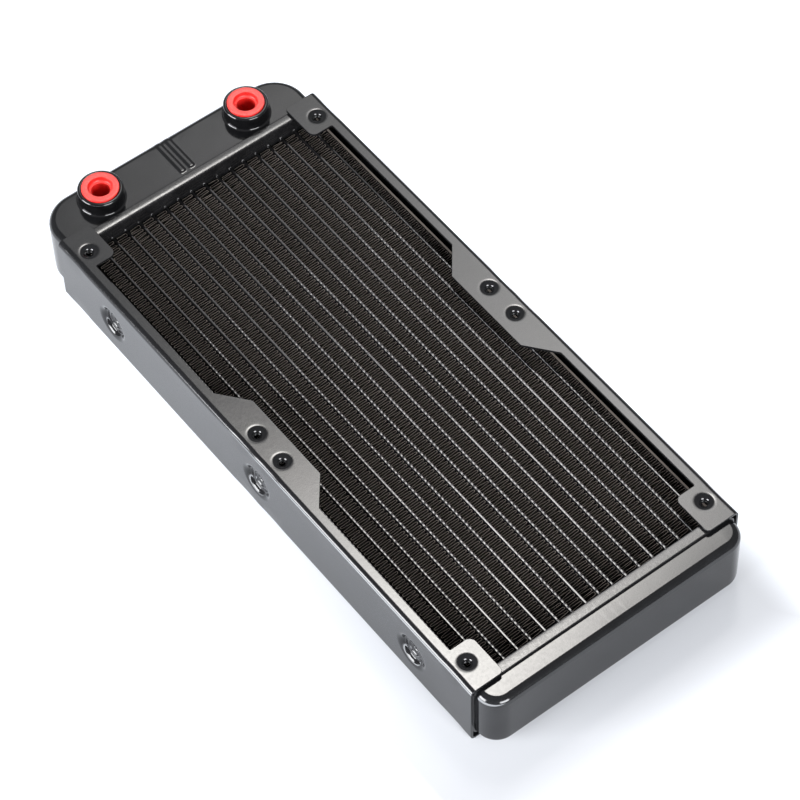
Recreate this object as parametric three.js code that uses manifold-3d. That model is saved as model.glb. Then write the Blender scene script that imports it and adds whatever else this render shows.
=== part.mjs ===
// Liquid cooling radiator for two 120 mm fans: a brazed core of flat tubes and corrugated fins
// between two tanks, held in two folded side panels, with two threaded ports closed by push-in plugs.
// Millimetres, +Z up. The origin is under the middle of the whole radiator, on its base plane,
// and +X runs from the port tank to the return tank.
import * as THREE from "three";
import { mergeVertices } from "three/addons/utils/BufferGeometryUtils.js";
import Module from "manifold-3d";

const wasm = await Module();
wasm.setup();

// ---- Driving dimensions ----
const LENGTH = 274; // end of the port tank to end of the return tank
const WIDTH = 118.4; // outside the side panels
const HEIGHT = 31; // side panels, which the fans and the case bolt to
const MID_Z = HEIGHT / 2;

const PANEL_LENGTH = 246;
const SHEET = 1; // side panel sheet
const BEND_RADIUS = 2; // outside of the panel's folds
const PANEL_REACH = 142; // port tank's end, from the middle of the side panels
const PANEL_X = PANEL_REACH - LENGTH / 2; // middle of the side panels and of the fan holes

const FAN_SIZE = 120;
const FAN_HOLE_SPACING = 105;
const SIDE_HOLE_X = 90; // outer holes in each panel's wall, from its middle one
const RIM_DEPTH = 5; // panel flange along the core
const TAB_DEPTH = 14.2; // panel flange at its corner and middle tabs
const CORNER_TAB_X = 105.2; // where a corner tab starts, from the panel's middle
const CORNER_TAB_RADIUS = 2.8;
const END_TAB_RADIUS = 1.8; // corner tab at the panel's end
const MIDDLE_TAB_TOP = 20.1; // half the middle tab's narrow edge
const MIDDLE_TAB_BASE = 31.7; // half the middle tab's wide edge

// dished seat round each tapped hole: small in the flanges, wide in the walls
const FLANGE_DIMPLE = { radius: 3.6, depth: 1.2, segments: 10 };
const WALL_DIMPLE = { radius: 6.6, depth: 1.7, segments: 16 };
const TAP_RADIUS = 1.25; // M3 minor radius
const TAP_LENGTH = 1.7; // drawn collar under the dish
const TAP_WALL = 0.65;

const HEADER_SHEET = 0.8;
const HEADER_CLEARANCE = 0.1; // between the rim and the tank in it

const TANK_HEIGHT = 26.6;
const TANK_WIDTH = 114.2;
const TANK_WALL = 1.5;
const TANK_MOUTH_X = 119.4; // just clear of the headers' floors
// face and rim: its header plate's core side, and where the plate's rim ends over the tank's mouth
const RETURN_TANK = { reach: LENGTH - PANEL_REACH, corner: 8.2, edge: 3.1, face: 118.3, rim: 122.6 };
const PORT_TANK = { reach: PANEL_REACH, corner: 13.7, edge: 2.7, face: 117.5, rim: 121.3 };
const TANK_TOP = MID_Z + TANK_HEIGHT / 2;

const BAFFLE_SHEET = 1.2;
const BAFFLE_CHAMFER = 1;
const BAFFLE_CLEARANCE = 0.3; // between the baffle's edges and the tank's walls

const RIDGE_SPACING = 4.06; // two ridges pressed up in the port tank's top
const RIDGE_WIDTH = 2.8;
const RIDGE_CREST = 0.6;
const RIDGE_HEIGHT = 0.5;
const RIDGE_ENDS = [-139.3, -123.2];

const CORE_DEPTH = 16.4; // tube section, through the core
const TUBE_COUNT = 18;
const TUBE_PITCH = 6;
const TUBE_THICKNESS = 1.7;
const TUBE_WALL = 0.35;
const TUBE_ROUND = 0.8; // its narrow edges
const TUBE_END_X = TANK_MOUTH_X + 1.1;
const SLOT_CLEARANCE = 0.15;

const FIN_WAVES = 16;
const FIN_SHEET = 0.6;
const FIN_DEPTH = CORE_DEPTH - 0.8;
const FIN_GAP = 0.1; // between a fin's folds and its tubes
const FIN_END_X = PORT_TANK.face - 0.6;
const SIDE_PLATE_Y = 54.7; // inner face of the plate that closes the core
const SIDE_PLATE_SHEET = 0.8;

const PORT_X = -131.9;
const PORT_Y = 33.5;
const PORT_TOP = 35;
const PORT_SEGMENTS = 22;
const COLLAR_RADIUS = 8.7;
const COLLAR_FOOT = 9.5;
const COLLAR_ROUND = 0.9;
const COLLAR_FILLET = 0.8; // at its foot
const BORE_RADIUS = 5.75; // G1/4 minor radius
const SEAT_RADIUS = 7.3; // shallow counterbore for the plug's flange or a fitting's seal
const SEAT_DEPTH = 0.5;

const PLUG_FLANGE_RADIUS = 7.15;
const PLUG_FLANGE = 1.1;
const PLUG_STEM_RADIUS = 5.5;
const PLUG_LENGTH = 10; // stem below the seat
const PLUG_MOUTH_RADIUS = 4.4;
const PLUG_BORE_RADIUS = 3.55;
const PLUG_FLOOR = 0.9;
const PLUG_TAPER = 2; // depth over which its mouth narrows to its bore
const PLUG_ROUND = 0.25; // flange's upper edge
const PLUG_LEAD = 0.6; // chamfer at the stem's end

// ---- Materials ----
const FINISHES = {
  paint: { color: 0x2a2b2d, roughness: 0.42, metalness: 0.3 },
  core: { color: 0x1c1b1a, roughness: 0.6, metalness: 0.4 },
  gloss: { color: 0x0c0c0d, roughness: 0.22, metalness: 0.3 },
  plug: { color: 0xf23a34, roughness: 0.45, metalness: 0 },
};

function named(name, geometry, finish) {
  const mesh = new THREE.Mesh(geometry, new THREE.MeshStandardMaterial(FINISHES[finish]));
  mesh.name = name;
  return mesh;
}

// ---- Solids ----
function solid(geometry) {
  const bare = geometry.index ? geometry.toNonIndexed() : geometry.clone();
  bare.deleteAttribute("normal");
  bare.deleteAttribute("uv");
  const merged = mergeVertices(bare, 1e-4);
  const vertProperties = new Float32Array(merged.attributes.position.array);
  const triVerts = new Uint32Array(merged.index.array);
  return new wasm.Manifold(new wasm.Mesh({ numProp: 3, vertProperties, triVerts }));
}

function geometryOf(manifold) {
  const made = manifold.getMesh();
  const geometry = new THREE.BufferGeometry();
  geometry.setAttribute("position", new THREE.BufferAttribute(made.vertProperties, 3));
  geometry.setIndex(new THREE.BufferAttribute(made.triVerts, 1));
  return geometry;
}

// A box between two corners.
function block(x0, x1, y0, y1, z0, z1) {
  const box = new THREE.BoxGeometry(x1 - x0, y1 - y0, z1 - z0);
  return box.translate((x0 + x1) / 2, (y0 + y1) / 2, (z0 + z1) / 2);
}

// An outline in X and Y, raised from z0.
function raised(shape, z0, height, curveSegments = 4) {
  const plate = new THREE.ExtrudeGeometry(shape, { depth: height, bevelEnabled: false, curveSegments });
  return plate.translate(0, 0, z0);
}

// An outline in Y and Z, run along X from x0 to x1.
function along(shape, x0, x1, curveSegments = 4) {
  const bar = new THREE.ExtrudeGeometry(shape, { depth: x1 - x0, bevelEnabled: false, curveSegments });
  const yzx = new THREE.Matrix4().makeBasis(
    new THREE.Vector3(0, 1, 0),
    new THREE.Vector3(0, 0, 1),
    new THREE.Vector3(1, 0, 0),
  );
  return bar.applyMatrix4(yzx).translate(x0, 0, 0);
}

// A profile of [radius, height] points turned about Z.
function turned(points, segments) {
  const profile = points.map(([r, z]) => new THREE.Vector2(r, z));
  return new THREE.LatheGeometry(profile, segments).rotateX(Math.PI / 2);
}

function outline(points) {
  return new THREE.Shape(points.map(([a, b]) => new THREE.Vector2(a, b)));
}

// A rectangle with round corners, as an outline centred on (x, y).
function roundedRectangle(width, height, radius, x = 0, y = 0) {
  const [w, h] = [width / 2, height / 2];
  const shape = new THREE.Shape();
  shape.moveTo(x - w + radius, y - h);
  shape.lineTo(x + w - radius, y - h);
  shape.absarc(x + w - radius, y - h + radius, radius, -Math.PI / 2, 0);
  shape.lineTo(x + w, y + h - radius);
  shape.absarc(x + w - radius, y + h - radius, radius, 0, Math.PI / 2);
  shape.lineTo(x - w + radius, y + h);
  shape.absarc(x - w + radius, y + h - radius, radius, Math.PI / 2, Math.PI);
  shape.lineTo(x - w, y - h + radius);
  shape.absarc(x - w + radius, y - h + radius, radius, Math.PI, 1.5 * Math.PI);
  return shape;
}

// ---- Side panels ----
// Everything from here on is laid out from the middle of the side panels.

// Panel section: a wall with a short lip at top and bottom, round on the outside of each fold.
function panelSection() {
  const [outer, inner] = [WIDTH / 2, WIDTH / 2 - SHEET];
  const lip = outer - BEND_RADIUS - 1;
  const inside = BEND_RADIUS - SHEET;
  const shape = new THREE.Shape();
  shape.moveTo(lip, 0);
  shape.lineTo(outer - BEND_RADIUS, 0);
  shape.absarc(outer - BEND_RADIUS, BEND_RADIUS, BEND_RADIUS, -Math.PI / 2, 0);
  shape.lineTo(outer, HEIGHT - BEND_RADIUS);
  shape.absarc(outer - BEND_RADIUS, HEIGHT - BEND_RADIUS, BEND_RADIUS, 0, Math.PI / 2);
  shape.lineTo(lip, HEIGHT);
  shape.lineTo(lip, HEIGHT - SHEET);
  shape.lineTo(inner - inside, HEIGHT - SHEET);
  shape.lineTo(inner, HEIGHT - SHEET - inside);
  shape.lineTo(inner, SHEET + inside);
  shape.lineTo(inner - inside, SHEET);
  shape.lineTo(lip, SHEET);
  return shape;
}

// Flange outline: a narrow rim with a tab at each end and a wide tapered one in the middle.
function flangeOutline() {
  const fold = WIDTH / 2 - BEND_RADIUS;
  const rim = WIDTH / 2 - RIM_DEPTH;
  const tab = WIDTH / 2 - TAB_DEPTH;
  const end = PANEL_LENGTH / 2;
  const [corner, round] = [CORNER_TAB_RADIUS, END_TAB_RADIUS];
  const shape = new THREE.Shape();
  shape.moveTo(end, fold);
  shape.lineTo(-end, fold);
  shape.lineTo(-end, tab + round);
  shape.absarc(-end + round, tab + round, round, Math.PI, 1.5 * Math.PI);
  shape.lineTo(-CORNER_TAB_X - corner, tab);
  shape.absarc(-CORNER_TAB_X - corner, tab + corner, corner, -Math.PI / 2, 0);
  shape.lineTo(-CORNER_TAB_X, rim);
  shape.lineTo(-MIDDLE_TAB_BASE, rim);
  shape.lineTo(-MIDDLE_TAB_TOP, tab);
  shape.lineTo(MIDDLE_TAB_TOP, tab);
  shape.lineTo(MIDDLE_TAB_BASE, rim);
  shape.lineTo(CORNER_TAB_X, rim);
  shape.absarc(CORNER_TAB_X + corner, tab + corner, corner, Math.PI, 1.5 * Math.PI);
  shape.lineTo(end - round, tab);
  shape.absarc(end - round, tab + round, round, -Math.PI / 2, 0);
  return shape;
}

// A tapped hole in a dished seat, facing +Z at z = 0: the metal of the dish and of its drawn collar.
function dishedHole({ radius, depth, segments }) {
  const foot = TAP_RADIUS + TAP_WALL;
  const rim = radius + 0.5;
  const profile = [
    [rim, 0],
    [radius, 0],
    [foot, -depth],
    [TAP_RADIUS, -depth],
    [TAP_RADIUS, -depth - TAP_LENGTH],
    [foot, -depth - TAP_LENGTH],
    [foot + TAP_WALL, -depth - TAP_WALL],
    [rim, -SHEET],
    [rim, 0],
  ];
  return turned(profile, segments);
}

// Each hole of the left panel: its dimple, where it is and which way it faces.
function panelHoles() {
  const holes = [];
  for (const fan of [-1, 1]) {
    for (const side of [-1, 1]) {
      const x = (fan * FAN_SIZE + side * FAN_HOLE_SPACING) / 2;
      const over = new THREE.Matrix4().makeTranslation(x, FAN_HOLE_SPACING / 2, HEIGHT);
      const under = new THREE.Matrix4().makeRotationX(Math.PI);
      holes.push([FLANGE_DIMPLE, over], [FLANGE_DIMPLE, under.setPosition(x, FAN_HOLE_SPACING / 2, 0)]);
    }
  }
  for (const x of [-SIDE_HOLE_X, 0, SIDE_HOLE_X]) {
    const outward = new THREE.Matrix4().makeRotationX(-Math.PI / 2);
    holes.push([WALL_DIMPLE, outward.setPosition(x, WIDTH / 2, MID_Z)]);
  }
  return holes;
}

function sidePanel() {
  const end = PANEL_LENGTH / 2;
  let panel = solid(along(panelSection(), -end, end, 3));
  panel = panel.add(solid(raised(flangeOutline(), 0, SHEET)));
  panel = panel.add(solid(raised(flangeOutline(), HEIGHT - SHEET, SHEET)));
  for (const [dimple, place] of panelHoles()) {
    const radius = dimple.radius + 0.2;
    const opening = new THREE.CylinderGeometry(radius, radius, 3 * SHEET, dimple.segments);
    panel = panel.subtract(solid(opening.rotateX(Math.PI / 2).applyMatrix4(place)));
    panel = panel.add(solid(dishedHole(dimple).applyMatrix4(place)));
  }
  return geometryOf(panel);
}

// ---- Core ----
function tubeY(index) {
  return (index - (TUBE_COUNT - 1) / 2) * TUBE_PITCH;
}

// Flat tube with round edges, open at both ends.
function flatTube() {
  const section = roundedRectangle(TUBE_THICKNESS, CORE_DEPTH, TUBE_ROUND);
  const [width, height] = [TUBE_THICKNESS - 2 * TUBE_WALL, CORE_DEPTH - 2 * TUBE_WALL];
  section.holes.push(roundedRectangle(width, height, TUBE_ROUND - TUBE_WALL));
  return along(section, -TUBE_END_X, TUBE_END_X, 1).translate(0, 0, MID_Z);
}

// Corrugated strip that fills the space from y = -width / 2 to width / 2, a zigzag in plan.
function finStrip(width) {
  const crest = width / 2 - FIN_SHEET;
  const half = FIN_END_X / (2 * FIN_WAVES);
  const folds = [];
  for (let i = 0; i <= 2 * FIN_WAVES; i++) folds.push([-FIN_END_X + 2 * half * i, i % 2 ? crest : -crest]);
  const near = folds.map(([x, y]) => [x, y - FIN_SHEET]);
  const far = folds.map(([x, y]) => [x, y + FIN_SHEET]).reverse();
  return raised(outline([...near, ...far]), MID_Z - FIN_DEPTH / 2, FIN_DEPTH);
}

function fins() {
  const strips = [];
  const between = TUBE_PITCH - TUBE_THICKNESS - 2 * FIN_GAP;
  for (let i = 0; i < TUBE_COUNT - 1; i++) strips.push([tubeY(i) + TUBE_PITCH / 2, between]);
  const tubeFace = tubeY(TUBE_COUNT - 1) + TUBE_THICKNESS / 2;
  const outer = SIDE_PLATE_Y - tubeFace - 2 * FIN_GAP;
  const outerY = (SIDE_PLATE_Y + tubeFace) / 2;
  return [[-outerY, outer], ...strips, [outerY, outer]];
}

function coreSidePlate() {
  const [z0, z1] = [MID_Z - CORE_DEPTH / 2, MID_Z + CORE_DEPTH / 2];
  return block(-FIN_END_X, FIN_END_X, SIDE_PLATE_Y, SIDE_PLATE_Y + SIDE_PLATE_SHEET, z0, z1);
}

// ---- Headers and tanks ----
// The section of a tank, grown all round by a margin.
function tankSection(edge, margin) {
  return roundedRectangle(TANK_WIDTH + 2 * margin, TANK_HEIGHT + 2 * margin, edge + margin, 0, MID_Z);
}

// A shallow tray, slotted for the tubes, whose rim wraps the tank's mouth. Its tank is on the +X side.
function header({ edge, face, rim }) {
  const tray = tankSection(edge, HEADER_CLEARANCE + HEADER_SHEET);
  const pocket = tankSection(edge, HEADER_CLEARANCE);
  const floor = face + HEADER_SHEET;
  let plate = solid(along(tray, face, rim));
  plate = plate.subtract(solid(along(pocket, floor, rim + 1)));
  const [across, deep] = [TUBE_THICKNESS / 2 + SLOT_CLEARANCE, CORE_DEPTH / 2 + SLOT_CLEARANCE];
  for (let i = 0; i < TUBE_COUNT; i++) {
    const y = tubeY(i);
    const slot = block(face - 1, floor + 1, y - across, y + across, MID_Z - deep, MID_Z + deep);
    plate = plate.subtract(solid(slot));
  }
  return geometryOf(plate);
}

// A pressed cap with round corners in plan and a round edge all round, before it is hollowed.
function tankBody(reach, width, height, corner, edge) {
  const back = TANK_MOUTH_X - 2 * edge;
  const shape = new THREE.Shape();
  shape.moveTo(back, -width / 2);
  shape.lineTo(reach - corner, -width / 2);
  shape.absarc(reach - corner, -width / 2 + corner, corner, -Math.PI / 2, 0);
  shape.lineTo(reach, width / 2 - corner);
  shape.absarc(reach - corner, width / 2 - corner, corner, 0, Math.PI / 2);
  shape.lineTo(back, width / 2);
  const bevel = { bevelThickness: edge, bevelSize: edge, bevelOffset: -edge, bevelSegments: 3 };
  const body = new THREE.ExtrudeGeometry(shape, { depth: height - 2 * edge, curveSegments: 3, ...bevel });
  return solid(body.translate(0, 0, MID_Z - height / 2 + edge));
}

function tankShell({ reach, corner, edge }) {
  const w = TANK_WALL;
  const outside = tankBody(reach, TANK_WIDTH, TANK_HEIGHT, corner, edge);
  const inside = tankBody(reach - w, TANK_WIDTH - 2 * w, TANK_HEIGHT - 2 * w, corner - w, edge - w);
  const mouth = solid(block(TANK_MOUTH_X - 20, TANK_MOUTH_X, -WIDTH, WIDTH, -HEIGHT, 2 * HEIGHT));
  return outside.subtract(inside).subtract(mouth);
}

// Two ridges pressed up in the tank's top, and a hole under each port.
function portTank() {
  let tank = solid(geometryOf(tankShell(PORT_TANK)).rotateZ(Math.PI));
  const [foot, crest] = [RIDGE_WIDTH / 2, RIDGE_CREST / 2];
  const [low, high] = [TANK_TOP - TANK_WALL / 2, TANK_TOP + RIDGE_HEIGHT];
  for (const side of [-1, 1]) {
    const y = (side * RIDGE_SPACING) / 2;
    const ridge = outline([
      [y - foot, low],
      [y + foot, low],
      [y + foot, TANK_TOP],
      [y + crest, high],
      [y - crest, high],
      [y - foot, TANK_TOP],
    ]);
    tank = tank.add(solid(along(ridge, ...RIDGE_ENDS)));
    const hole = new THREE.CylinderGeometry(BORE_RADIUS, BORE_RADIUS, 4 * TANK_WALL, PORT_SEGMENTS);
    hole.rotateX(Math.PI / 2).translate(PORT_X, side * PORT_Y, TANK_TOP);
    tank = tank.subtract(solid(hole));
  }
  return geometryOf(tank);
}

// Divider across the port tank: the coolant goes out along half of the tubes and back along the rest.
function flowBaffle() {
  const far = -PORT_TANK.reach + TANK_WALL + BAFFLE_CLEARANCE;
  const half = TANK_HEIGHT / 2 - TANK_WALL - BAFFLE_CLEARANCE;
  const plate = outline([
    [-TANK_MOUTH_X, -half],
    [-TANK_MOUTH_X, half],
    [far + BAFFLE_CHAMFER, half],
    [far, half - BAFFLE_CHAMFER],
    [far, BAFFLE_CHAMFER - half],
    [far + BAFFLE_CHAMFER, -half],
  ]);
  const flat = new THREE.ExtrudeGeometry(plate, { depth: BAFFLE_SHEET, bevelEnabled: false });
  return flat.rotateX(Math.PI / 2).translate(0, BAFFLE_SHEET / 2, MID_Z);
}

// ---- Ports ----
function portCollar() {
  const profile = [
    [BORE_RADIUS, TANK_TOP],
    [COLLAR_FOOT, TANK_TOP],
    [COLLAR_RADIUS, TANK_TOP + COLLAR_FILLET],
    [COLLAR_RADIUS, PORT_TOP - COLLAR_ROUND],
    [COLLAR_RADIUS - 0.3 * COLLAR_ROUND, PORT_TOP - 0.3 * COLLAR_ROUND],
    [COLLAR_RADIUS - COLLAR_ROUND, PORT_TOP],
    [SEAT_RADIUS, PORT_TOP],
    [SEAT_RADIUS, PORT_TOP - SEAT_DEPTH],
    [BORE_RADIUS, PORT_TOP - SEAT_DEPTH],
    [BORE_RADIUS, TANK_TOP],
  ];
  return turned(profile, PORT_SEGMENTS);
}

// Flanged push-in plug, hollow from above.
function portPlug() {
  const seat = PORT_TOP - SEAT_DEPTH;
  const top = seat + PLUG_FLANGE;
  const end = seat - PLUG_LENGTH;
  const profile = [
    [0, end],
    [PLUG_STEM_RADIUS - PLUG_LEAD, end],
    [PLUG_STEM_RADIUS, end + PLUG_LEAD],
    [PLUG_STEM_RADIUS, seat],
    [PLUG_FLANGE_RADIUS, seat],
    [PLUG_FLANGE_RADIUS, top - PLUG_ROUND],
    [PLUG_FLANGE_RADIUS - PLUG_ROUND, top],
    [PLUG_MOUTH_RADIUS, top],
    [PLUG_BORE_RADIUS, top - PLUG_TAPER],
    [PLUG_BORE_RADIUS, end + PLUG_FLOOR],
    [0, end + PLUG_FLOOR],
  ];
  return turned(profile, PORT_SEGMENTS);
}

// ---- Assembly ----
function numbered(stem, index) {
  return stem + "_" + String(index + 1).padStart(2, "0");
}

// Turns a piece half round about Z, to the opposite side or end of the radiator.
function opposite(mesh) {
  mesh.rotation.z = Math.PI;
  return mesh;
}

function buildCore() {
  const core = new THREE.Group();
  for (let i = 0; i < TUBE_COUNT; i++) {
    const tube = named(numbered("tube", i), flatTube(), "core");
    tube.position.y = tubeY(i);
    core.add(tube);
  }
  fins().forEach(([y, width], i) => {
    const strip = named(numbered("fin_strip", i), finStrip(width), "core");
    strip.position.y = y;
    core.add(strip);
  });
  core.add(named("core_side_plate_left", coreSidePlate(), "core"));
  core.add(opposite(named("core_side_plate_right", coreSidePlate(), "core")));
  return core;
}

function buildPorts() {
  const ports = new THREE.Group();
  for (const [side, y] of [
    ["left", PORT_Y],
    ["right", -PORT_Y],
  ]) {
    const port = new THREE.Group();
    port.add(named("port_collar_" + side, portCollar(), "gloss"));
    port.add(named("port_plug_" + side, portPlug(), "plug"));
    port.position.set(PORT_X, y, 0);
    ports.add(port);
  }
  return ports;
}

const radiator = new THREE.Group();
const body = new THREE.Group();
body.position.x = PANEL_X;
radiator.add(body);
body.add(named("side_panel_left", sidePanel(), "paint"));
body.add(opposite(named("side_panel_right", sidePanel(), "paint")));
body.add(named("return_header", header(RETURN_TANK), "paint"));
body.add(opposite(named("port_header", header(PORT_TANK), "paint")));
body.add(named("return_tank", geometryOf(tankShell(RETURN_TANK)), "paint"));
body.add(named("port_tank", portTank(), "paint"));
body.add(named("flow_baffle", flowBaffle(), "core"));
body.add(buildCore());
body.add(buildPorts());

export default radiator;
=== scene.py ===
"""Looks for a liquid cooling radiator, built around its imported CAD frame.

Lengths in the builders are millimetres from the middle of the side panels, with z from the base
plane. A piece is turned into metres in the row frame when its mesh is made.
"""

import math

import bmesh
import bpy
import numpy as np
from mathutils import Matrix, Vector
from mathutils.geometry import delaunay_2d_cdt


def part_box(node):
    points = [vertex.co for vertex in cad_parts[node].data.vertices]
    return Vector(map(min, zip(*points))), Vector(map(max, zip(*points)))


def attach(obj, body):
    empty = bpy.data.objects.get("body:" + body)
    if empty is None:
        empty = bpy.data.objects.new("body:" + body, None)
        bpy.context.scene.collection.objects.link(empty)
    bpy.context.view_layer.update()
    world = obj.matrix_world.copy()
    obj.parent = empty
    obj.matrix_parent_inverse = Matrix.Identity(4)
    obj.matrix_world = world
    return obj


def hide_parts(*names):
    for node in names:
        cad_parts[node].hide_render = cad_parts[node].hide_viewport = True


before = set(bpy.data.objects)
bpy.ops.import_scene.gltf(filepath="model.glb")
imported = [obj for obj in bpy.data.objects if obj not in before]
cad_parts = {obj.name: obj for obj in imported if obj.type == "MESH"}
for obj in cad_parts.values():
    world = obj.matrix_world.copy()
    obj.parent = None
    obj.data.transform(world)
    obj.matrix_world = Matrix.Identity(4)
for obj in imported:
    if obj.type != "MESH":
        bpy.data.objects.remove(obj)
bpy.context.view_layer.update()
scene = bpy.context.scene
MM = 0.001


def box_mm(node):
    """Lowest and highest corner of a CAD node, in millimetres."""
    return [np.array(corner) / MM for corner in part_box(node)]


# ---- Sizes, from the frame where it has them ----
panel_low, panel_high = box_mm("side_panel_left")
PANEL_X = (panel_low[0] + panel_high[0]) / 2
PANEL_END = (panel_high[0] - panel_low[0]) / 2
OUTER = panel_high[1]
HEIGHT = panel_high[2]
MID_Z = HEIGHT / 2
SHEET = 1.0  # thickness of a panel
SHEET_EDGE = 0.16  # rounding of its cut edges
BEND = 2.0  # outer radius of its folds
RIM, TAB = 5.0, 14.2  # depths of a flange, along the core and at its tabs
CORNER_TAB = 105.2  # where the corner tabs start, from the middle
TAB_TOP, TAB_BASE = 20.1, 31.7  # half lengths of the middle tab, at its edge and at its foot
END_ROUND, CORNER_ROUND, RIM_ROUND, TAB_ROUND = 1.8, 2.8, 0.5, 0.8
HOLE_Y = 52.5
HOLES_X = (-112.5, -7.5, 7.5, 112.5)
SIDE_HOLES_X = (-90.0, 0.0, 90.0)
TAP_MINOR, TAP, TAP_PITCH = 1.28, 1.5, 0.5  # an M3 thread, by its radii

header_low, header_high = box_mm("return_header")
port_header_low, port_header_high = box_mm("port_header")
RETURN_HEADER = {
    "face": header_low[0] - PANEL_X,
    "rim": header_high[0] - PANEL_X,
    "crown": math.radians(3),
}
PORT_HEADER = {
    "face": PANEL_X - port_header_high[0],
    "rim": PANEL_X - port_header_low[0],
    "crown": math.radians(9),
}
HEADER_SHEET = 0.8
HEADER_BEND = 0.4
HEADER_GAP = 0.1  # between a tray and the tank in it
SLOT_GAP = 0.12  # round each tube
tank_low, tank_high = box_mm("return_tank")
TANK_WIDTH = tank_high[1] - tank_low[1]
TANK_TOP, TANK_FLOOR = tank_high[2], tank_low[2]
TANK_WALL = 1.5
TANK_MOUTH = tank_low[0] - PANEL_X
RETURN_TANK = {"reach": tank_high[0] - PANEL_X, "corner": 8.2, "edge": 3.1}
PORT_TANK = {"reach": PANEL_X - box_mm("port_tank")[0][0], "corner": 13.7, "edge": 2.7}
RIDGES_Y = (-2.03, 2.03)
RIDGE_HALF, RIDGE_CREST, RIDGE_HEIGHT = 1.6, 0.45, 0.24  # half widths at foot and crest, height
RIDGE_END, RIDGE_FADE = 122.9, 0.9  # where they start to rise, and over what length
RIDGE_ZONE = np.arange(-4.4, 4.5, 0.2)  # close rows of points over both ridges

TUBES = [n for n in sorted(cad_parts) if n.startswith("tube_")]
FINS = [n for n in sorted(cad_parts) if n.startswith("fin_strip_")]
tube_low, tube_high = box_mm(TUBES[0])
TUBE_HALF = (tube_high[1] - tube_low[1]) / 2
TUBE_TOP, TUBE_FLOOR = tube_high[2], tube_low[2]
TUBE_END = tube_high[0] - PANEL_X
TUBE_WALL = 0.35
TUBE_TAPER = 1.0  # how much thicker the wall is at the narrow edges
# half of a tube's narrow edge, from its side to its crest, as (offset from the middle, depth)
TUBE_EDGE = [(TUBE_HALF, 1.7), (0.69, 1.05), (0.5, 0.45), (0.39, 0.14)]
TUBE_EDGE += [(0.32, 0.055), (0.29, 0.034), (0.26, 0.031), (0, 0.03)]
DENT = 0.07  # depth of the dents in the crests
# a dent's profile along the crest, as (share of the fins' pitch, share of its depth)
DENT_STEPS = [(-0.5, 0), (-0.19, 0), (-0.15, 0.1), (-0.08, 0.65)]
DENT_STEPS += [(0, 1), (0.08, 0.65), (0.15, 0.1), (0.19, 0)]
DENTS_FROM = 85  # dents deepen from this far behind the middle up to the middle
OUTER_TUBE_LEAN = 0.62  # outwards, of the first tube's crest
FIN_PITCH = 1.97
FIN_SHEET = 0.25
FIN_DROP = 0.85  # mean depth of the fins' edges below the tubes' crests
FIN_END = PORT_HEADER["face"] - 0.5
FIN_REACH = 0.28  # how far a strip's bends reach past its CAD box, under the tubes' edges

collar_low, collar_high = box_mm("port_collar_left")
PORT_X = (collar_low[0] + collar_high[0]) / 2 - PANEL_X
PORT_Y = (collar_low[1] + collar_high[1]) / 2
PORT_TOP = collar_high[2]
COLLAR, COLLAR_FOOT = 8.7, 9.5  # radii
BORE_MINOR, BORE_MAJOR, BORE_PITCH = 5.72, 6.5, 1.337  # a G1/4 thread, by its radii
SEAT, SEAT_DEPTH = 7.3, 0.5  # radius and depth of the step that a plug sits on
PLUG_FLANGE, PLUG_RISE = 7.15, 0.6  # radius, and height over the collar
PLUG_LENGTH, PLUG_STEM = 10.0, 5.45  # length below the seat, and radius
PLUG_RIBS = (1.9, 3.1, 4.3)  # heights above the stem's end


# ---- Meshes ----
class Skin:
    """The surface patches of one piece."""

    def __init__(self):
        self.points, self.faces = [], []

    def add(self, points, faces):
        base = len(self.points)
        self.points.extend(np.asarray(points, float).reshape(-1, 3).tolist())
        self.faces.extend([[base + i for i in face] for face in faces])

    def grid(self, rows, around=False):
        """Quads between rows of points, closed into rings if they go around."""
        rows = np.asarray(rows, float)
        n, m = rows.shape[:2]
        last = m if around else m - 1
        self.add(
            rows,
            [
                (i * m + j, i * m + (j + 1) % m, (i + 1) * m + (j + 1) % m, (i + 1) * m + j)
                for i in range(n - 1)
                for j in range(last)
            ],
        )

    def turned(self):
        """This surface turned half round about Z, to the opposite side or end."""
        made = Skin()
        made.add([(-x, -y, z) for x, y, z in self.points], self.faces)
        return made


def triangulated(loops, extra=()):
    """Points and triangles that fill the first loop, around the other loops, through the extra points."""
    coords, edges, owner = [], [], []
    for k, loop in enumerate(loops):
        base, n = len(coords), len(loop)
        coords += [Vector((p[0], p[1])) for p in loop]
        edges += [(base + i, base + (i + 1) % n) for i in range(n)]
        owner += [k] * n
    coords += [Vector((p[0], p[1])) for p in extra]
    owner += [0] * len(extra)
    made = delaunay_2d_cdt(coords, edges, [], 1, 1e-6)
    owners = [owner[source[0]] if source else 0 for source in made[3]]
    faces = [f for f in made[2] if not (owners[f[0]] and len({owners[i] for i in f}) == 1)]
    return np.array([tuple(v) for v in made[0]]), faces


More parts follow.
